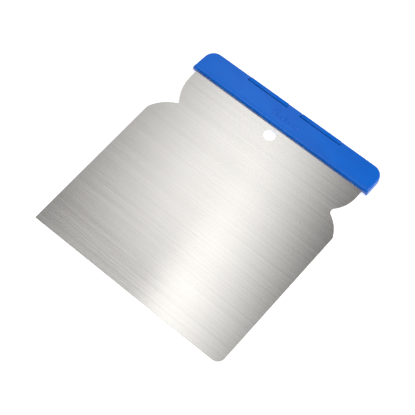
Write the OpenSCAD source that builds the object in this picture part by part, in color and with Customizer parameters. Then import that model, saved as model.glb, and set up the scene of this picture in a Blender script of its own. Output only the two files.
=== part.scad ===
// Flat scraper: a thin waisted steel blade held in a two-part moulded spine.
// It lies on the back of the spine: X runs along the working edge, Y from that edge to the spine,
// +Z is the front face. The origin is the middle of the footprint, on the resting plane.

/* [Blade] */
// Length of the working edge
edge_l = 120; // [114:1:130]
// Height of the sheet, from the working edge to its hidden upper edge
blade_h = 128.4; // [128:0.1:129]
// Sheet thickness
blade_t = 0.5; // [0.3:0.05:0.8]
// Radius of the rounded working corner
corner_r = 4.2; // [1:0.1:10]

/* [Waist] */
// Half width of the blade on the left where it enters the spine
left_top_w = 54.6; // [53:0.1:56]
// Half width of the blade on the right where it enters the spine
right_top_w = 55.1; // [53:0.1:56]
// Height above the working edge at which both upper lobes are widest
lobe_y = 112; // [110:0.5:114]
// Radius of the left upper lobe
left_upper_r = 24.2; // [20:0.1:28]
// Radius of the right upper lobe
right_upper_r = 18.3; // [16:0.1:24]
// Radius of the left lower lobe
left_lower_r = 21.7; // [19:0.1:23]
// Radius of the right lower lobe
right_lower_r = 20.1; // [19:0.1:23]
// Height of the centre of the left lower lobe
left_lower_y = 75.9; // [74:0.1:78]
// Height of the centre of the right lower lobe
right_lower_y = 78.7; // [76:0.1:80]
// How far the lower lobes would bulge past the sides if they were not cut off there
lobe_overrun = 1.65; // [1:0.05:2]
// Fillet radius at the bottom of the left waist
left_waist_r = 0.7; // [0.4:0.1:2]
// Fillet radius at the bottom of the right waist
right_waist_r = 2.4; // [0.6:0.1:3]

/* [Hanging hole] */
// Diameter of the hanging hole
hang_d = 7; // [4:0.1:8]
// Distance of its centre above the working edge
hang_y = 111.9; // [108:0.1:112]
// Sideways offset of its centre
hang_x = -0.6; // [-2:0.1:2]

/* [Spine] */
// Length of the spine along its lower edge
spine_l = 115; // [114:0.1:118]
// Sideways offset of the spine on the blade
spine_x = 0.45; // [-0.5:0.05:1]
// Distance from the working edge to the lower edge of the spine
spine_y = 116.8; // [116.5:0.05:118]
// Height of the spine
spine_h = 14.9; // [14:0.05:16]
// Depth of the front shell above the blade
front_d = 1.8; // [1.7:0.1:5]
// Depth of the rear shell behind the front of the blade
rear_d = 2.8; // [2.4:0.1:5]
// Lean of the left end, in degrees
left_draft = 4; // [0:0.5:5]
// Lean of the right end, in degrees
right_draft = 0; // [0:0.5:3]
// Radius of the two upper corners
spine_corner_r = 6; // [3:0.5:7]
// Radius of the long edges along the top
top_edge_r = 0.6; // [0.3:0.1:1]
// Radius of the lower rear edge
heel_r = 2.1; // [1.2:0.1:2.2]

/* [Bead] */
// Radius of the bead along the lower edge of the front shell
bead_r = 1.4; // [0.8:0.05:1.6]
// Height of the bead above the front face
bead_proud = 0.25; // [0.1:0.05:0.5]

/* [Tongues] */
// Sideways offset of the middle of the pair of tongues
tongue_x = 0.55; // [0:0.05:2]
// Distance from the middle of the pair of tongues to their inner ends
tongue_in = 4.6; // [3:0.1:8]
// Distance from the middle of the pair of tongues to their outer ends
tongue_out = 29.9; // [20:0.1:40]
// Height of each tongue on the front face
tongue_h = 2.2; // [1.6:0.05:2.4]
// Height of the tongues above the top of the spine
tongue_proud = 0.15; // [0.05:0.05:0.3]
// Gap round each tongue in its rebate
tongue_gap = 0.4; // [0.2:0.05:0.5]

/* [Pegs] */
// Number of pegs that pin the shells through the blade
peg_n = 4; // [2:2:4]
// Diameter of a peg
peg_d = 3; // [2:0.1:4]
// Distance between neighbouring pegs
peg_pitch = 28; // [14:1:30]
// Distance of the pegs above the working edge
peg_y = 123.4; // [121:0.1:125]
// How far a peg reaches into its blind socket in the front shell
peg_reach = 1.1; // [0.8:0.1:1.3]

/* [Scale marks] */
// Distance of the middle of the long marks above the working edge
mark_y = 123.3; // [121:0.1:126]
// Number of raised marks on the front face
mark_n = 7; // [3:2:11]
// Distance between neighbouring marks
mark_pitch = 2.6; // [2:0.1:4]
// Height of a long mark
mark_h = 3; // [1:0.1:5]
// Width of a mark
mark_w = 0.6; // [0.3:0.1:1]
// How far the marks stand out of the face
mark_proud = 0.3; // [0.1:0.05:0.4]

/* [Hidden] */
$fn = 96;
part_h = spine_y + spine_h + tongue_proud;
half_l = edge_l / 2;
spine_top = spine_y + spine_h;
end_half = spine_l / 2;
peg_clear = 0.2;
socket_clear = 0.05;
pocket_clear = 0.2;
lip_w = 0.8;
lip_r = 1.1;
eps = 0.01;

// Centre of a circle of radius ra + r from a and rb + r from b, on the outer side of the line a-b
function fillet_centre(a, ra, b, rb, r) =
    let (
        d = norm(b - a),
        u = (b - a) / d,
        along = (pow(ra + r, 2) - pow(rb + r, 2) + d * d) / (2 * d),
        across = sqrt(pow(ra + r, 2) - along * along)
    )
    a + along * u + across * [u.y, -u.x];

// Right half of the blade outline, with its two lobes and the filleted waist between them
module half_outline(top_w, upper_r, lower_r, lower_y, waist_r) {
    upper_c = [top_w - upper_r, lobe_y];
    lower_c = [half_l + lobe_overrun - lower_r, lower_y];
    waist_c = fillet_centre(lower_c, lower_r, upper_c, upper_r, waist_r);
    shoulder_y = lower_y + sqrt(pow(lower_r, 2) - pow(half_l - lower_c.x, 2));
    intersection() {
        square([half_l, blade_h]);
        union() {
            square([half_l, shoulder_y]);
            square([upper_c.x, blade_h]);
            translate(lower_c) circle(lower_r);
            translate(upper_c) circle(upper_r);
            translate([0, lobe_y]) square([top_w, blade_h - lobe_y]);
            difference() {
                polygon([lower_c, waist_c, upper_c]);
                translate(waist_c) circle(waist_r);
            }
        }
    }
}

// Square corner left outside a quarter circle, pointing along +X and -Y
module corner_waste(r) {
    difference() {
        translate([-r, -1]) square([r + 1, r + 1]);
        translate([-r, r]) circle(r);
    }
}

// Calls its children at each peg position
module at_pegs() {
    for (i = [0 : peg_n - 1])
        translate([spine_x + (i - (peg_n - 1) / 2) * peg_pitch, peg_y, 0]) children();
}

// Calls its children at the middle of each tongue, on the top of the spine
module at_tongues() {
    for (side = [-1, 1])
        translate([tongue_x + side * (tongue_in + tongue_out) / 2, spine_top, 0]) children();
}

// One half of the spine's outline, right of its middle, with its end leaning in by an angle
module half_spine(draft) {
    corner_y = spine_h - spine_corner_r;
    corner_x = end_half - corner_y * tan(draft) - spine_corner_r / cos(draft);
    polygon([
        [0, 0],
        [end_half, 0],
        [corner_x, corner_y] + spine_corner_r * [cos(draft), sin(draft)],
        [corner_x, spine_h],
        [0, spine_h]
    ]);
    translate([corner_x, corner_y]) circle(spine_corner_r);
}

// Outline of the spine seen from the front, with round upper corners
module spine_outline() {
    translate([spine_x, spine_y]) {
        half_spine(right_draft);
        mirror([1, 0]) half_spine(left_draft);
    }
}

// Solid with the spine's outline whose section across the spine is the child shape (X is Y, Y is Z)
module spine_solid() {
    intersection() {
        translate([0, 0, -rear_d - 1]) linear_extrude(rear_d + front_d + 3) spine_outline();
        translate([spine_x - end_half - 1, spine_y, 0])
            rotate([90, 0, 90]) linear_extrude(spine_l + 2) children();
    }
}

// Section of the front shell: bead at the lower edge, flat face, rounded top edge
module front_section() {
    crown = front_d + bead_proud;
    intersection() {
        translate([bead_r, crown - bead_r]) circle(bead_r);
        square([2 * bead_r, crown]);
    }
    square([2 * bead_r, crown - bead_r]);
    difference() {
        translate([bead_r, 0]) square([spine_h - bead_r, front_d]);
        translate([spine_h, front_d]) mirror([0, 1]) corner_waste(top_edge_r);
    }
}

// Section of the rear shell, rounded along the heel by the given radius, and along the top
module rear_section(r) {
    difference() {
        translate([0, -rear_d]) square([spine_h, rear_d]);
        translate([0, -rear_d]) mirror([1, 0]) corner_waste(r);
        translate([spine_h, -rear_d]) corner_waste(top_edge_r);
    }
}

// Row of raised strokes, a long one at the middle and at each end
module scale_marks() {
    reach = (mark_n - 1) / 2;
    for (i = [-reach : reach]) {
        stroke_h = abs(i) % reach == 0 ? mark_h : mark_h * 0.6;
        translate([spine_x + i * mark_pitch - mark_w / 2, mark_y - mark_h / 2, front_d - eps])
            cube([mark_w, stroke_h, mark_proud + eps]);
    }
}

// Thin stainless sheet with the working edge at the bottom
module blade() {
    color("silver")
        translate([0, 0, -blade_t]) linear_extrude(blade_t) difference() {
            union() {
                half_outline(right_top_w, right_upper_r, right_lower_r, right_lower_y, right_waist_r);
                mirror([1, 0])
                    half_outline(left_top_w, left_upper_r, left_lower_r, left_lower_y, left_waist_r);
            }
            translate([half_l, 0]) corner_waste(corner_r);
            translate([hang_x, hang_y]) circle(d = hang_d);
            at_pegs() circle(d = peg_d + 2 * peg_clear);
        }
}

// Front half of the spine: carries the bead and the marks, and receives the pegs and the tongues
module front_shell() {
    color("royalblue") {
        difference() {
            spine_solid() front_section();
            at_pegs() translate([0, 0, -1])
                cylinder(d = peg_d + 2 * socket_clear, h = peg_reach + 1 + pocket_clear);
            at_tongues() translate([(tongue_in - tongue_out) / 2 - tongue_gap, -tongue_h - tongue_gap, -1])
                cube([tongue_out - tongue_in + 2 * tongue_gap, tongue_h + 2, front_d + 3]);
        }
        scale_marks();
    }
}

// Rear half of the spine: seats the blade in a pocket and holds it with pegs and tongues.
// Its heel is rounded less over a short stretch at the right end.
module rear_shell() {
    tongue_l = tongue_out - tongue_in;
    color("royalblue") {
        difference() {
            union() {
                spine_solid() rear_section(heel_r);
                intersection() {
                    spine_solid() rear_section(lip_r);
                    translate([spine_x + end_half - lip_w, spine_y - 1, -rear_d - 1])
                        cube([lip_w + 1, 4, rear_d + 2]);
                }
            }
            translate([-left_top_w - pocket_clear, spine_y - 1, -blade_t])
                cube([left_top_w + right_top_w + 2 * pocket_clear, blade_h + pocket_clear - spine_y + 1, blade_t + 1]);
        }
        at_pegs() translate([0, 0, -blade_t - eps]) cylinder(d = peg_d, h = blade_t + peg_reach + eps);
        at_tongues() translate([-tongue_l / 2, -tongue_h, -rear_d / 2])
            cube([tongue_l, tongue_h + tongue_proud, rear_d / 2 + front_d]);
    }
}

// Moves the assembly from its working-edge datum to the part's own origin
module placed() {
    translate([0, -part_h / 2, rear_d]) children();
}

placed() blade();
placed() front_shell();
placed() rear_shell();
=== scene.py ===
"""Flat scraper: a thin brushed blade in a moulded spine, lying face up on a pale floor."""

import math

import bmesh
import bpy
from mathutils import Matrix, Quaternion, Vector


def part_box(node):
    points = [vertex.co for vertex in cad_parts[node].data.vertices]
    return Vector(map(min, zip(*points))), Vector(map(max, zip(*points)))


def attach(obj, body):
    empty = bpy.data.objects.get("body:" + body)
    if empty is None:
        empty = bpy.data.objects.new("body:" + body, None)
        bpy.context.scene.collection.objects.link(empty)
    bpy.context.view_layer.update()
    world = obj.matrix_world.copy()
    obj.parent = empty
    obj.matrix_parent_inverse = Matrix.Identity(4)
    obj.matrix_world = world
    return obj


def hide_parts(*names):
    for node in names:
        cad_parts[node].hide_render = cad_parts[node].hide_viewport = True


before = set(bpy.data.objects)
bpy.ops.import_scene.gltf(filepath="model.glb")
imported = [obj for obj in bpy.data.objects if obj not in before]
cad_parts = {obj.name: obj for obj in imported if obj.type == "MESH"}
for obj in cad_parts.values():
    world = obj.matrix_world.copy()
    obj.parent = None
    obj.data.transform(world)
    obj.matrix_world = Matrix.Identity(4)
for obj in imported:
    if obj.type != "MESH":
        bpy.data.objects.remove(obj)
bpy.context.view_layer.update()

MM = 0.001
BLADE_LOW, BLADE_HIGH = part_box("blade")
FRONT_LOW, FRONT_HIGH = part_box("front_shell")
REAR_LOW, REAR_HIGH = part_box("rear_shell")

# All shapes below are in millimetres from this datum, the middle of the working edge on the
# blade's front face. Z points up out of that face.
DATUM = Vector((0, BLADE_LOW.y, BLADE_HIGH.z))

# Sizes that the frame gives
EDGE_L = (BLADE_HIGH.x - BLADE_LOW.x) / MM
BLADE_H = (BLADE_HIGH.y - BLADE_LOW.y) / MM
BLADE_T = (BLADE_HIGH.z - BLADE_LOW.z) / MM
SPINE_X = (FRONT_LOW.x + FRONT_HIGH.x) / 2 / MM
SPINE_Y = (FRONT_LOW.y - DATUM.y) / MM
SPINE_L = (FRONT_HIGH.x - FRONT_LOW.x) / MM
SPINE_H = (FRONT_HIGH.y - FRONT_LOW.y) / MM
FRONT_D = (REAR_HIGH.z - DATUM.z) / MM
REAR_D = (DATUM.z - REAR_LOW.z) / MM
TONGUE_PROUD = (REAR_HIGH.y - FRONT_HIGH.y) / MM

# Blade outline
HALF_L = EDGE_L / 2
CORNER_R = 4.2
LOBE_Y = 112.0
LOBE_OVERRUN = 1.65
RIGHT_SIDE = dict(top_w=55.1, upper_r=18.3, lower_r=20.1, lower_y=78.7, waist_r=2.4)
LEFT_SIDE = dict(top_w=54.6, upper_r=24.2, lower_r=21.7, lower_y=75.9, waist_r=0.7)
HANG_AT, HANG_R = (-0.6, 111.9), 3.5
BURR = 0.05  # width of the broken edges
LOBE_STEPS, CORNER_STEPS, HANG_STEPS, PEG_HOLE_STEPS = 28, 14, 64, 32
UV_SPAN = 200

# Pegs of the rear half, through holes in the blade and into sockets of the front half
PEG_N, PEG_PITCH, PEG_Y, PEG_R, PEG_REACH = 4, 28.0, 123.4, 1.5, 1.1
PEG_CLEAR, SOCKET_CLEAR, PEG_ROOT, PEG_STEPS = 0.2, 0.05, 0.3, 40

# Outline of the spine
LEFT_DRAFT, RIGHT_DRAFT = math.radians(4), math.radians(0)
SPINE_CORNER_R = 6.0
CORNER_Y = SPINE_H - SPINE_CORNER_R

# Rounded rims: EDGE_R along the top and END_R near the ends. The change starts END_ZONE from an
# end and takes up END_BLEND.
EDGE_R, END_R = 0.6, 0.8
END_ZONE, END_BLEND = 8, 4

# Front face: the bead along the lower edge, and a faint groove at its foot
BEAD_R, BEAD_PROUD = 1.4, 0.25
BEAD_FOOT = BEAD_R + math.sqrt(BEAD_R**2 - (BEAD_R - BEAD_PROUD) ** 2)
GROOVE_DEPTH, GROOVE_W = 0.07, 0.25

# Rear face: the rounded heel, and its tighter lip at the right end
HEEL_R, LIP_R, LIP_W, LIP_BLEND = 2.1, 1.1, 0.8, 0.2

# Seam. A face stays above the seam's wall, because a mesh that crosses itself can't be cut.
SEAM_CHAMFER, SEAM_H = 0.1, 0.2
FACE_MIN = SEAM_H + 0.05

# Pocket for the blade, between the halves
POCKET_GAP = 0.2

# Tongues of the rear half, in rebates of the front half, both measured from TONGUE_X
TONGUE_X, TONGUE_IN, TONGUE_OUT = 0.55, 4.6, 29.9
TONGUE_H, TONGUE_GAP, TONGUE_RIM = 2.2, 0.4, 0.12

# Raised strokes
MARK_Y, MARK_N, MARK_PITCH = 123.3, 7, 2.6
MARK_H, MARK_SHORT, MARK_W, MARK_PROUD, MARK_RIM = 3.0, 0.6, 0.6, 0.3, 0.12

# Grid of a spine half's face: rows up to FLAT_FROM, then FLAT_ROWS steps to the upper corners,
# and columns that are close together near each end
FLAT_FROM, FLAT_ROWS, ROUND_ROWS, INNER_COLUMNS = 3.2, 6, 30, 40
FROM_END = [0, 0.03, 0.09, 0.18, 0.3, 0.45, 0.62, 0.8, 0.9, 1.0, 1.3, 1.8, 2.6, 3.6, 5, 7, 9.5]

BLADE_WELD, SHELL_WELD = 0.002, 1e-4  # vertices closer than this are one
BLADE_CREASE, SHELL_CREASE = 25, 32  # degrees at which an edge shows as sharp
BEYOND = 1  # how far a cutter reaches past what it cuts

# Colours and finish
STEEL_DARK, STEEL_LIGHT = (0.695, 0.68, 0.65), (0.795, 0.778, 0.748)
STEEL_ROUGHNESS = (0.12, 0.14)  # at the working edge and at the spine
BLUE_DARK, BLUE_LIGHT = (0.0, 0.094, 0.468), (0.0, 0.108, 0.514)
PLASTIC_ROUGHNESS = (0.14, 0.20)
FLOOR_DARK, FLOOR_LIGHT = (0.60, 0.60, 0.60), (0.62, 0.62, 0.62)
MICRON = 1e-6

# Camera: degrees, millimetres from the datum, metres, and millimetres of lens
CAMERA_AZIMUTH, CAMERA_ELEVATION, CAMERA_ROLL = 41.31, 63.67, -0.88
CAMERA_AIM, CAMERA_DISTANCE = (1.98, 59.53, 0.11), 0.6868
CAMERA_LENS, CAMERA_SENSOR = 119.4, 36

FLOOR_HALF = 4  # metres

# Brightness of the surround. The band's right side moves by SLANT for each step in y from SLANT_Y.
BAND_LEVEL, OUTER_LEVEL = 1.55, 0.5
SLANT, SLANT_Y = 0.17, 0.33


# ---------------------------------------------------------------- helpers


def new_object(name, mesh):
    obj = bpy.data.objects.new(name, mesh)
    bpy.context.scene.collection.objects.link(obj)
    return obj


def mesh_from(bm, name):
    """A mesh, still in millimetres from the datum, from a bmesh."""
    bmesh.ops.recalc_face_normals(bm, faces=bm.faces)
    mesh = bpy.data.meshes.new(name)
    bm.to_mesh(mesh)
    bm.free()
    return mesh


def smooth_by_angle(mesh, degrees):
    for polygon in mesh.polygons:
        polygon.use_smooth = True
    mesh.set_sharp_from_angle(angle=math.radians(degrees))


def baked(obj):
    """The object's mesh with its modifiers applied."""
    evaluated = obj.evaluated_get(bpy.context.evaluated_depsgraph_get())
    return bpy.data.meshes.new_from_object(evaluated)


def cut(obj, cutters):
    """Subtracts the cutter objects from obj, and removes them."""
    for cutter in cutters:
        modifier = obj.modifiers.new(cutter.name, "BOOLEAN")
        modifier.operation = "DIFFERENCE"
        modifier.solver = "EXACT"
        modifier.object = cutter
    bpy.context.view_layer.update()
    obj.data = baked(obj)
    obj.modifiers.clear()
    for cutter in cutters:
        bpy.data.objects.remove(cutter)


def arc(centre, radius, start, end, steps):
    """Points on an arc between two angles in radians, both ends included."""
    angles = [start + (end - start) * i / steps for i in range(steps + 1)]
    return [(centre[0] + radius * math.cos(a), centre[1] + radius * math.sin(a)) for a in angles]


def circle(centre, radius, steps):
    return arc(centre, radius, 0, math.tau, steps)[:-1]


def direction(a, b):
    """Angle of the line from a to b."""
    return math.atan2(b[1] - a[1], b[0] - a[0])


def box_into(bm, low, high):
    """Adds a box between two corners, and returns its edges."""
    size = [high[i] - low[i] for i in range(3)]
    middle = [(high[i] + low[i]) / 2 for i in range(3)]
    matrix = Matrix.Translation(middle) @ Matrix.Diagonal((*size, 1))
    made = bmesh.ops.create_cube(bm, size=1, matrix=matrix)
    return {edge for vert in made["verts"] for edge in vert.link_edges}


def round_edges(bm, edges, radius):
    bmesh.ops.bevel(
        bm, geom=list(edges), offset=radius, segments=2, affect="EDGES", profile=0.5
    )


def box_object(name, low, high):
    bm = bmesh.new()
    box_into(bm, low, high)
    return new_object(name, mesh_from(bm, name))


def join_into(obj, extra):
    """Adds another mesh's geometry to an object's mesh."""
    bm = bmesh.new()
    bm.from_mesh(obj.data)
    bm.from_mesh(extra)
    bm.to_mesh(obj.data)
    bm.free()


def peg_xs():
    return [SPINE_X + (i - (PEG_N - 1) / 2) * PEG_PITCH for i in range(PEG_N)]


def pegs_into(bm, radius, low, high):
    """Adds an upright cylinder at each peg position."""
    for x in peg_xs():
        bmesh.ops.create_cone(
            bm,
            cap_ends=True,
            segments=PEG_STEPS,
            radius1=radius,
            radius2=radius,
            depth=high - low,
            matrix=Matrix.Translation((x, PEG_Y, (low + high) / 2)),
        )


# ---------------------------------------------------------------- blade


def fillet_centre(a, ra, b, rb, r):
    """Centre of a circle of radius r that touches circles a and b, to the right of the way a-b."""
    a, b = Vector(a), Vector(b)
    length = (b - a).length
    along_dir = (b - a) / length
    along = ((ra + r) ** 2 - (rb + r) ** 2 + length**2) / (2 * length)
    across = math.sqrt((ra + r) ** 2 - along**2)
    return a + along * along_dir + across * Vector((along_dir.y, -along_dir.x))


def side_profile(top_w, upper_r, lower_r, lower_y, waist_r):
    """The right side of the blade from its shoulder to its upper corner."""
    upper = (top_w - upper_r, LOBE_Y)
    lower = (HALF_L + LOBE_OVERRUN - lower_r, lower_y)
    waist = fillet_centre(lower, lower_r, upper, upper_r, waist_r)
    shoulder = math.acos((HALF_L - lower[0]) / lower_r)
    points = arc(lower, lower_r, shoulder, direction(lower, waist), LOBE_STEPS)
    down, up = direction(waist, lower) % math.tau, direction(waist, upper) % math.tau
    points += arc(waist, waist_r, down, up, CORNER_STEPS)[1:-1]
    points += arc(upper, upper_r, direction(upper, waist), 0, LOBE_STEPS)
    return points + [(top_w, BLADE_H)]


def blade_outline():
    corner = arc((HALF_L - CORNER_R, CORNER_R), CORNER_R, -math.pi / 2, 0, CORNER_STEPS)
    left = [(-x, y) for x, y in reversed(side_profile(**LEFT_SIDE))]
    return corner + side_profile(**RIGHT_SIDE) + left + [(-HALF_L, 0)]


def make_blade():
    """The sheet as a filled flat curve with holes, made into a mesh with lightly broken edges."""
    curve = bpy.data.curves.new("blade_sheet", "CURVE")
    curve.dimensions = "2D"
    curve.fill_mode = "BOTH"
    curve.extrude = BLADE_T / 2 - BURR
    curve.bevel_depth = BURR
    curve.bevel_resolution = 0
    curve.offset = -BURR
    loops = [blade_outline(), circle(HANG_AT, HANG_R, HANG_STEPS)]
    loops += [circle((x, PEG_Y), PEG_R + PEG_CLEAR, PEG_HOLE_STEPS) for x in peg_xs()]
    for loop in loops:
        spline = curve.splines.new("POLY")
        spline.points.add(len(loop) - 1)
        for point, (x, y) in zip(spline.points, loop):
            point.co = (x, y, 0, 1)
        spline.use_cyclic_u = True
    source = new_object("blade_curve", curve)
    bm = bmesh.new()
    bm.from_mesh(baked(source))
    bpy.data.objects.remove(source)
    bmesh.ops.remove_doubles(bm, verts=bm.verts, dist=BLADE_WELD)
    bmesh.ops.translate(bm, verts=bm.verts, vec=(0, 0, -BLADE_T / 2))
    mesh = mesh_from(bm, "blade_sheet")
    # U runs across the grain, and so do the tangent and the stretched highlight.
    across = mesh.uv_layers.new(name="across_grain")
    for loop in mesh.loops:
        point = mesh.vertices[loop.vertex_index].co
        across.data[loop.index].uv = (point.y / UV_SPAN, point.x / UV_SPAN + 0.5)
    smooth_by_angle(mesh, BLADE_CREASE)
    return new_object("blade_sheet", mesh)


# ---------------------------------------------------------------- spine


def draft_of(side):
    """How far an end leans in, for the right end (side 1) or the left end (side -1)."""
    return RIGHT_DRAFT if side > 0 else LEFT_DRAFT


def corner_x(side):
    """Distance from the middle of the spine to the centre of an upper corner."""
    draft = draft_of(side)
    return SPINE_L / 2 - CORNER_Y * math.tan(draft) - SPINE_CORNER_R / math.cos(draft)


def half_width(y, side):
    """Distance from the middle of the spine to an end, at a height above the lower edge."""
    draft = draft_of(side)
    if y <= CORNER_Y + SPINE_CORNER_R * math.sin(draft):
        return SPINE_L / 2 - y * math.tan(draft)
    return corner_x(side) + math.sqrt(max(0, SPINE_CORNER_R**2 - (y - CORNER_Y) ** 2))


def edge_distance(x, y):
    """Distance to the ends, upper corners and top of the spine, from a point on its face."""
    side = 1 if x > 0 else -1
    draft = draft_of(side)
    dx, dy = abs(x) - corner_x(side), y - CORNER_Y
    if dx > 0 and dy > dx * math.tan(draft):
        return SPINE_CORNER_R - math.hypot(dx, dy)
    to_end = (SPINE_L / 2 - y * math.tan(draft) - abs(x)) * math.cos(draft)
    return min(to_end, SPINE_H - y)


def inset_point(x, y, inset):
    """The point moved in, where needed, to be no closer than inset to the spine's outline."""
    y = min(max(y, inset), SPINE_H - inset)
    return min(max(x, inset - half_width(y, -1)), half_width(y, 1) - inset), y


def rim_drop(x, y):
    """How far a face has dropped at a point near its rounded rim, which is softer at both ends."""
    blend = min(1, max(0, (abs(x) - SPINE_L / 2 + END_ZONE) / END_BLEND))
    return rounding(edge_distance(x, y), EDGE_R + (END_R - EDGE_R) * blend)


def rounding(d, radius):
    """How far a face has dropped at a distance from its rounded edge."""
    if d >= radius:
        return 0
    return radius - math.sqrt(max(0, radius**2 - (radius - max(d, 0)) ** 2))


def front_height(x, y):
    """Height of the front face: bead, groove, then flat, rounded off at the ends and the top."""
    off_crown = abs(y - BEAD_R)
    on_bead = FRONT_D + BEAD_PROUD - BEAD_R + math.sqrt(max(0, BEAD_R**2 - off_crown**2))
    if y <= BEAD_R:
        height = on_bead
    else:
        groove = GROOVE_DEPTH * math.exp(-(((y - BEAD_FOOT) / GROOVE_W) ** 2))
        height = max(on_bead, FRONT_D) - groove
    return max(height - rim_drop(x, y), FACE_MIN)


def rear_height(x, y):
    """Depth of the rear face, with a rounded heel that is tighter close to the right end."""
    blend = min(1, max(0, (half_width(y, 1) - x - LIP_W + LIP_BLEND / 2) / LIP_BLEND))
    heel_r = LIP_R + (HEEL_R - LIP_R) * blend
    return max(REAR_D - rounding(y, heel_r) - rim_drop(x, y), FACE_MIN)


def front_rows():
    """Heights of the front face's lowest rows, over the bead and the groove."""
    quarter = [BEAD_R * (1 - math.cos(math.radians(a))) for a in range(0, 90, 9)]
    beyond = [BEAD_R * (1 + math.sin(math.radians(a))) for a in range(0, 41, 5)]
    groove = [BEAD_FOOT + d for d in (0, 0.1, 0.2, 0.35, 0.55, 0.9)]
    return quarter + [y for y in beyond if y < BEAD_FOOT] + groove + [FLAT_FROM]


def rear_rows():
    """Heights of the rear face's lowest rows, over the heel."""
    heel = [HEEL_R * (1 - math.cos(math.radians(a))) for a in range(0, 91, 6)]
    return heel + [2.5, FLAT_FROM]


def shell_mesh(name, height, low_rows, turn):
    """A spine half: a face grid that follows the outline, a side wall, and a flat back at the seam.

    height gives the face's distance from the seam, low_rows the rows near the lower edge, and
    turn is 1 for the half that faces +Z and -1 for the other.
    """
    flat_h = CORNER_Y - FLAT_FROM
    flat_rows = [FLAT_FROM + flat_h * i / FLAT_ROWS for i in range(1, FLAT_ROWS)]
    corner_angles = [math.pi / 2 * i / ROUND_ROWS for i in range(ROUND_ROWS + 1)]
    corner_rows = [CORNER_Y + SPINE_CORNER_R * math.sin(a) for a in corner_angles]
    rows = low_rows + flat_rows + corner_rows
    bm = bmesh.new()
    grid = []
    for y in rows:
        left, right = -half_width(y, -1), half_width(y, 1)
        low, high = left + FROM_END[-1], right - FROM_END[-1]
        xs = [left + d for d in FROM_END]
        xs += [low + (high - low) * i / INNER_COLUMNS for i in range(1, INNER_COLUMNS)]
        xs += [right - d for d in reversed(FROM_END)]
        spots = [(x + SPINE_X, y + SPINE_Y, turn * height(x, y)) for x in xs]
        grid.append([bm.verts.new(spot) for spot in spots])
    for lower, upper in zip(grid, grid[1:]):
        for i in range(len(lower) - 1):
            bm.faces.new((lower[i], lower[i + 1], upper[i + 1], upper[i]))
    right_end, left_end = [row[-1] for row in grid[1:]], [row[0] for row in grid[-2:0:-1]]
    rim = grid[0] + right_end + grid[-1][-2::-1] + left_end
    rings = [rim]
    for inset, level in ((0, SEAM_H), (SEAM_CHAMFER, 0)):
        spots = [inset_point(v.co.x - SPINE_X, v.co.y - SPINE_Y, inset) for v in rim]
        spots = [(x + SPINE_X, y + SPINE_Y, turn * level) for x, y in spots]
        rings.append([bm.verts.new(spot) for spot in spots])
    for upper, lower in zip(rings, rings[1:]):
        for i in range(len(rim)):
            j = (i + 1) % len(rim)
            bm.faces.new((upper[i], upper[j], lower[j], lower[i]))
    bm.faces.new(rings[-1])
    bmesh.ops.remove_doubles(bm, verts=bm.verts, dist=SHELL_WELD)
    return mesh_from(bm, name)


def tongue_spans():
    """The two stretches of the spine's length that a tongue takes up."""
    left = (TONGUE_X - TONGUE_OUT, TONGUE_X - TONGUE_IN)
    right = (TONGUE_X + TONGUE_IN, TONGUE_X + TONGUE_OUT)
    return [left, right]


def tongue_into(bm, start, end):
    """Adds one tongue: a bar whose top front edge is rounded like the shell beside it."""
    top = SPINE_Y + SPINE_H + TONGUE_PROUD
    foot = SPINE_Y + SPINE_H - TONGUE_H
    root = -REAR_D / 2
    section = [(foot, root), (foot, FRONT_D - TONGUE_RIM), (foot + TONGUE_RIM, FRONT_D)]
    section += reversed(arc((top - EDGE_R, FRONT_D - EDGE_R), EDGE_R, 0, math.pi / 2, 6))
    section += [(top, root)]
    caps = []
    for x in (start, end):
        caps.append(bm.faces.new([bm.verts.new((x, y, z)) for y, z in section]))
    sides = list(zip(caps[0].verts, caps[1].verts))
    for i in range(len(sides)):
        j = (i + 1) % len(sides)
        bm.faces.new((sides[i][0], sides[j][0], sides[j][1], sides[i][1]))
    round_edges(bm, {edge for cap in caps for edge in cap.edges}, TONGUE_RIM)


def marks_into(bm):
    """Adds a plain row of raised strokes, of which the middle one and the two outer are long."""
    reach = (MARK_N - 1) // 2
    foot = MARK_Y - MARK_H / 2
    for i in range(-reach, reach + 1):
        length = MARK_H if abs(i) % reach == 0 else MARK_H * MARK_SHORT
        x = SPINE_X + i * MARK_PITCH
        low = (x - MARK_W / 2, foot, FRONT_D - MARK_PROUD)
        high = (x + MARK_W / 2, foot + length, FRONT_D + MARK_PROUD)
        round_edges(bm, box_into(bm, low, high), MARK_RIM)


def make_front_shell():
    shell = new_object("front_cover", shell_mesh("front_cover", front_height, front_rows(), 1))
    top = SPINE_Y + SPINE_H
    cutters = []
    for i, (start, end) in enumerate(tongue_spans()):
        low = (start - TONGUE_GAP, top - TONGUE_H - TONGUE_GAP, -BEYOND)
        high = (end + TONGUE_GAP, top + BEYOND, FRONT_D + BEYOND)
        cutters.append(box_object(f"rebate_{i}", low, high))
    bm = bmesh.new()
    pegs_into(bm, PEG_R + SOCKET_CLEAR, -BEYOND, PEG_REACH + PEG_CLEAR)
    cutters.append(new_object("sockets", mesh_from(bm, "sockets")))
    cut(shell, cutters)
    bm = bmesh.new()
    marks_into(bm)
    join_into(shell, mesh_from(bm, "marks"))
    smooth_by_angle(shell.data, SHELL_CREASE)
    return shell


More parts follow.
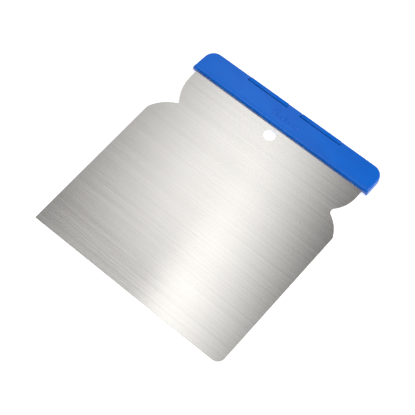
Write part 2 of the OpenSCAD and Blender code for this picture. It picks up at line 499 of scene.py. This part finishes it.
def make_rear_shell():
    shell = new_object("rear_cover", shell_mesh("rear_cover", rear_height, rear_rows(), -1))
    low = (-LEFT_SIDE["top_w"] - POCKET_GAP, SPINE_Y - BEYOND, -BLADE_T)
    high = (RIGHT_SIDE["top_w"] + POCKET_GAP, BLADE_H + POCKET_GAP, BEYOND)
    cut(shell, [box_object("pocket", low, high)])
    bm = bmesh.new()
    pegs_into(bm, PEG_R, -BLADE_T - PEG_ROOT, PEG_REACH)
    for start, end in tongue_spans():
        tongue_into(bm, start, end)
    join_into(shell, mesh_from(bm, "pegs_and_tongues"))
    smooth_by_angle(shell.data, SHELL_CREASE)
    return shell


# ---------------------------------------------------------------- materials


class Nodes:
    """Short calls for building a node tree."""

    def __init__(self, block, shader="Principled BSDF"):
        block.use_nodes = True
        self.block, self.tree = block, block.node_tree
        self.shader = self.tree.nodes[shader]

    def add(self, kind, **settings):
        node = self.tree.nodes.new(kind)
        for key, value in settings.items():
            setattr(node, key, value)
        return node

    def link(self, source, target):
        self.tree.links.new(source, target)

    def noise(self, detail, roughness, per_mm):
        """Noise over the object, with a frequency per millimetre along each axis."""
        place = self.add("ShaderNodeTexCoord")
        mapping = self.add("ShaderNodeMapping")
        mapping.inputs["Scale"].default_value = [f / MM for f in per_mm]
        node = self.add("ShaderNodeTexNoise")
        node.inputs["Scale"].default_value = 1
        node.inputs["Detail"].default_value = detail
        node.inputs["Roughness"].default_value = roughness
        self.link(place.outputs["Object"], mapping.inputs["Vector"])
        self.link(mapping.outputs["Vector"], node.inputs["Vector"])
        return node.outputs["Fac"]

    def ramp(self, value, low, high, to_low, to_high):
        """Value rescaled from one range to another, and held to it."""
        node = self.add("ShaderNodeMapRange")
        ends = {"From Min": low, "From Max": high, "To Min": to_low, "To Max": to_high}
        for key, number in ends.items():
            node.inputs[key].default_value = number
        self.link(value, node.inputs["Value"])
        return node.outputs["Result"]

    def maths(self, operation, a, b):
        """Arithmetic on two inputs, each a number or another node's output."""
        node = self.add("ShaderNodeMath", operation=operation)
        for socket, value in zip(node.inputs, (a, b)):
            if isinstance(value, (int, float)):
                socket.default_value = value
            else:
                self.link(value, socket)
        return node.outputs[0]

    def tint(self, factor, colour_a, colour_b):
        """A mix of two colours, from colour_a at 0 to colour_b at 1."""
        node = self.add("ShaderNodeMix", data_type="RGBA")
        self.link(factor, node.inputs["Factor"])
        node.inputs["A"].default_value = (*colour_a, 1)
        node.inputs["B"].default_value = (*colour_b, 1)
        return node.outputs["Result"]

    def bump(self, height, distance, strength, before=None):
        """A bump of so many metres, on top of another one if before is given."""
        node = self.add("ShaderNodeBump")
        node.inputs["Distance"].default_value = distance
        node.inputs["Strength"].default_value = strength
        self.link(height, node.inputs["Height"])
        if before is not None:
            self.link(before, node.inputs["Normal"])
        return node.outputs["Normal"]


def brushed_steel():
    """Stainless sheet with a fine grain along X, worn smoother towards the working edge."""
    n = Nodes(bpy.data.materials.new("brushed_steel"))
    fine = n.noise(4, 0.6, (0.05, 5.0, 1.0))
    medium = n.noise(3, 0.55, (0.012, 0.9, 1.0))
    broad = n.noise(2, 0.5, (0.01, 0.09, 1.0))
    grain = n.maths("ADD", n.maths("MULTIPLY", fine, 0.35), n.maths("MULTIPLY", medium, 0.65))
    tone = n.ramp(grain, 0.3, 0.7, 0, 1)
    n.link(n.tint(tone, STEEL_DARK, STEEL_LIGHT), n.shader.inputs["Base Color"])
    along = n.add("ShaderNodeSeparateXYZ")
    n.link(n.add("ShaderNodeTexCoord").outputs["Object"], along.inputs["Vector"])
    wear = n.ramp(along.outputs["Y"], DATUM.y, DATUM.y + SPINE_Y * MM, *STEEL_ROUGHNESS)
    streaks = n.ramp(grain, 0.3, 0.7, -0.01, 0.01)
    patches = n.ramp(broad, 0.3, 0.7, -0.005, 0.005)
    texture = n.maths("ADD", streaks, patches)
    n.link(n.maths("ADD", wear, texture), n.shader.inputs["Roughness"])
    n.link(n.bump(fine, 10 * MICRON, 0.25), n.shader.inputs["Normal"])
    n.shader.inputs["Metallic"].default_value = 1
    n.shader.inputs["Anisotropic"].default_value = 1.0
    tangent = n.add("ShaderNodeTangent", direction_type="UV_MAP", uv_map="across_grain")
    n.link(tangent.outputs["Tangent"], n.shader.inputs["Tangent"])
    return n.block


def moulded_plastic():
    """Glossy blue moulding with a faint skin texture and slight unevenness."""
    n = Nodes(bpy.data.materials.new("moulded_plastic"))
    cloud = n.noise(3, 0.55, (0.05, 0.12, 0.12))
    colour = n.tint(n.ramp(cloud, 0.35, 0.65, 0, 1), BLUE_DARK, BLUE_LIGHT)
    n.link(colour, n.shader.inputs["Base Color"])
    skin = n.noise(3, 0.6, (1.6, 1.6, 1.6))
    waves = n.noise(2, 0.5, (0.12, 0.3, 0.3))
    n.link(n.ramp(skin, 0.3, 0.7, *PLASTIC_ROUGHNESS), n.shader.inputs["Roughness"])
    unevenness = n.bump(waves, 120 * MICRON, 0.35)
    n.link(n.bump(skin, 10 * MICRON, 0.35, unevenness), n.shader.inputs["Normal"])
    n.shader.inputs["Specular IOR Level"].default_value = 0.35
    return n.block


def floor_paint():
    """Matt pale paint that also glows a little, for a near-white floor without hard shadows."""
    n = Nodes(bpy.data.materials.new("floor_paint"))
    soft = n.noise(2, 0.5, (0.002, 0.002, 0.002))
    n.link(n.tint(soft, FLOOR_DARK, FLOOR_LIGHT), n.shader.inputs["Base Color"])
    n.shader.inputs["Roughness"].default_value = 0.9
    n.shader.inputs["Specular IOR Level"].default_value = 0.1
    n.shader.inputs["Emission Color"].default_value = (1, 1, 1, 1)
    n.shader.inputs["Emission Strength"].default_value = 0.6
    return n.block


# ---------------------------------------------------------------- stage


def make_floor():
    """A plane that the spine's back and the blade's working edge both rest on."""
    heel = SPINE_Y + HEEL_R
    drop = (REAR_D - BLADE_T) * MM
    bm = bmesh.new()
    bmesh.ops.create_grid(bm, x_segments=8, y_segments=8, size=FLOOR_HALF)
    mesh = bpy.data.meshes.new("floor")
    bm.to_mesh(mesh)
    bm.free()
    floor = new_object("floor", mesh)
    tilt = math.atan2(drop, heel * MM)
    edge = Vector((0, DATUM.y, DATUM.z - BLADE_T * MM))
    floor.matrix_world = Matrix.Translation(edge) @ Matrix.Rotation(-tilt, 4, "X")
    floor.data.materials.append(floor_paint())


def softbox(name, centre, width, height, radiance):
    """A rectangular light of an even brightness that faces the object. Sizes in metres."""
    light = bpy.data.lights.new(name, "AREA")
    light.shape = "RECTANGLE"
    light.size, light.size_y = width, height
    light.energy = radiance * math.pi * width * height
    obj = new_object(name, light)
    obj.location = centre
    obj.rotation_mode = "QUATERNION"
    obj.rotation_quaternion = (-Vector(centre)).to_track_quat("-Z", "Y")
    obj.visible_camera = False


def make_lights():
    """A large softbox for the whole scene, and a smaller one that the bead shows as a highlight."""
    softbox("top", (0.9, 0.3, 2.0), 1.2, 1.2, 8.2)
    softbox("bead", (-0.62, -0.38, 1.98), 0.8, 0.5, 3.2)


def make_surround():
    """A dim surround with a broad bright band across it for the blade to mirror.

    x and y belong to the direction of a mirrored ray. In the main view the blade's front mirrors x
    from -0.38 to -0.21, left to right, and y from 0.25 to 0.41, which the brushing spreads wider.
    Outside that patch the surround is brighter, so that the blade isn't black from elsewhere.
    """
    n = Nodes(bpy.data.worlds.new("studio"), "Background")
    way = n.add("ShaderNodeSeparateXYZ")
    n.link(n.add("ShaderNodeTexCoord").outputs["Generated"], way.inputs["Vector"])
    x, y = way.outputs["X"], way.outputs["Y"]
    slanted = n.maths("ADD", x, n.maths("MULTIPLY", n.maths("SUBTRACT", y, SLANT_Y), SLANT))

    # The band fades out to the left, to the right, and at its near and far ends.
    to_left, to_right = n.ramp(x, -0.41, -0.315, 0, 1), n.ramp(slanted, -0.275, -0.204, 1, 0)
    near, far = n.ramp(y, 0.0, 0.28, 0.3, 1), n.ramp(y, 0.36, 0.52, 1, 0.3)
    band, depth = n.maths("MULTIPLY", to_left, to_right), n.maths("MULTIPLY", near, far)

    # Low on the left it starts with a steep step, which fades out further up and further left.
    step = n.ramp(slanted, -0.312, -0.294, 0, 1)
    lift = n.maths("MAXIMUM", n.ramp(y, 0.25, 0.32, 0, 1), n.ramp(x, -0.36, -0.32, 0.3, 0))
    shade = n.maths("MAXIMUM", step, lift)
    glow = n.maths("MULTIPLY", n.maths("MULTIPLY", band, depth), shade)

    # The rest is dim around the mirrored patch and brighter to both sides and beyond it.
    right, left = n.ramp(x, -0.10, 0.05, 0, OUTER_LEVEL), n.ramp(x, -0.60, -0.47, OUTER_LEVEL, 0)
    beyond = n.ramp(y, 0.55, 0.75, 0, OUTER_LEVEL)
    outer = n.maths("MAXIMUM", n.maths("MAXIMUM", right, left), beyond)
    base = n.maths("ADD", outer, n.ramp(y, -0.2, 0.1, 0.05, 0.125))

    level = n.maths("ADD", n.maths("MULTIPLY", glow, BAND_LEVEL), base)
    n.link(level, n.shader.inputs["Strength"])
    n.shader.inputs["Color"].default_value = (1, 1, 1, 1)
    bpy.context.scene.world = n.block


def make_camera():
    azimuth, elevation = math.radians(CAMERA_AZIMUTH), math.radians(CAMERA_ELEVATION)
    roll = Quaternion((0, 0, 1), math.radians(CAMERA_ROLL))
    back = Vector(
        (
            math.sin(azimuth) * math.cos(elevation),
            -math.cos(azimuth) * math.cos(elevation),
            math.sin(elevation),
        )
    )
    data = bpy.data.cameras.new("camera")
    data.lens, data.sensor_width = CAMERA_LENS, CAMERA_SENSOR
    camera = new_object("camera", data)
    camera.location = DATUM + Vector(CAMERA_AIM) * MM + back * CAMERA_DISTANCE
    camera.rotation_mode = "QUATERNION"
    camera.rotation_quaternion = (-back).to_track_quat("-Z", "Y") @ roll
    bpy.context.scene.camera = camera


# ---------------------------------------------------------------- assembly


make_camera()
steel, plastic = brushed_steel(), moulded_plastic()
for maker, node, slot, material in (
    (make_blade, "blade", "blade_steel", steel),
    (make_front_shell, "front_shell", "spine_plastic", plastic),
    (make_rear_shell, "rear_shell", "spine_plastic", plastic),
):
    piece = maker()
    piece.data.transform(Matrix.Translation(DATUM) @ Matrix.Scale(MM, 4))
    piece.data.materials.clear()
    piece.data.materials.append(material)
    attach(piece, "root")
    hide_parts(node)
make_floor()
make_lights()
make_surround()
bpy.context.scene.view_settings.view_transform = "Standard"
